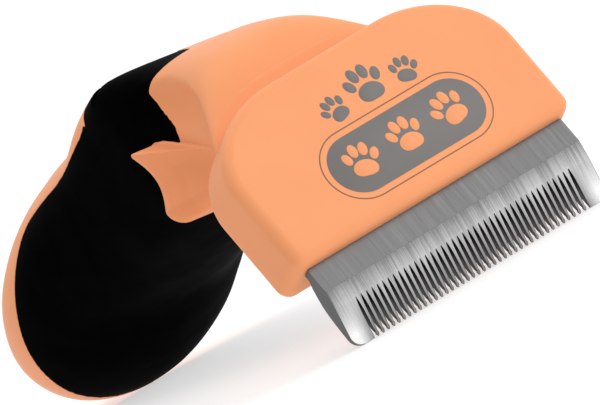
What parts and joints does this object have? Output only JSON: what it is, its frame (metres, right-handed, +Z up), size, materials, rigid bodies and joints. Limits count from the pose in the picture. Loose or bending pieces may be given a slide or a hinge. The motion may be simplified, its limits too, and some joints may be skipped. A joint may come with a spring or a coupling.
{
  "type": "deshedding tool",
  "caption": "Hand-held pet deshedding tool: wide toothed steel blade in a flat rounded head, flared finger guard and ovoid two-tone palm grip.",
  "frame": {"origin": "middle of the underside of the bounding box, on the surface that the tool rests on", "axes": "+X across the blade, +Y from the head towards the tail of the handle, +Z up with the tool lying on its teeth and on the tail"},
  "size_m": [0.0726, 0.1652, 0.0607],
  "materials": {
    "peach_plastic": "glossy moulded plastic",
    "black_rubber": "matt soft-touch rubber",
    "blade_steel": "ground and brushed stainless steel",
    "zinc_steel": "zinc plated steel",
    "dark_plastic": "matt moulded plastic",
    "badge_grey": "satin print on plastic",
    "badge_line": "satin print on plastic"
  },
  "bodies": {
    "root": {"badge_outline": "badge_line", "badge_plate": "badge_grey", "blade": "blade_steel", "blade_clamp_bar": "dark_plastic", "blade_pin_1": "zinc_steel", "blade_pin_2": "zinc_steel", "clamp_screw_1": "zinc_steel", "clamp_screw_2": "zinc_steel", "clamp_screw_3": "zinc_steel", "handle_lower_shell": "peach_plastic", "handle_screw_1": "zinc_steel", "handle_screw_2": "zinc_steel", "handle_screw_3": "zinc_steel", "handle_screw_4": "zinc_steel", "handle_upper_shell": "peach_plastic", "head_front_cover": "peach_plastic", "head_rear_cover": "peach_plastic", "head_screw_1": "zinc_steel", "head_screw_2": "zinc_steel", "head_screw_3": "zinc_steel", "head_screw_4": "zinc_steel", "neck_screw_1": "zinc_steel", "neck_screw_2": "zinc_steel", "palm_grip_skin": "black_rubber", "thumb_rest_skin": "black_rubber"}
  },
  "joints": []
}
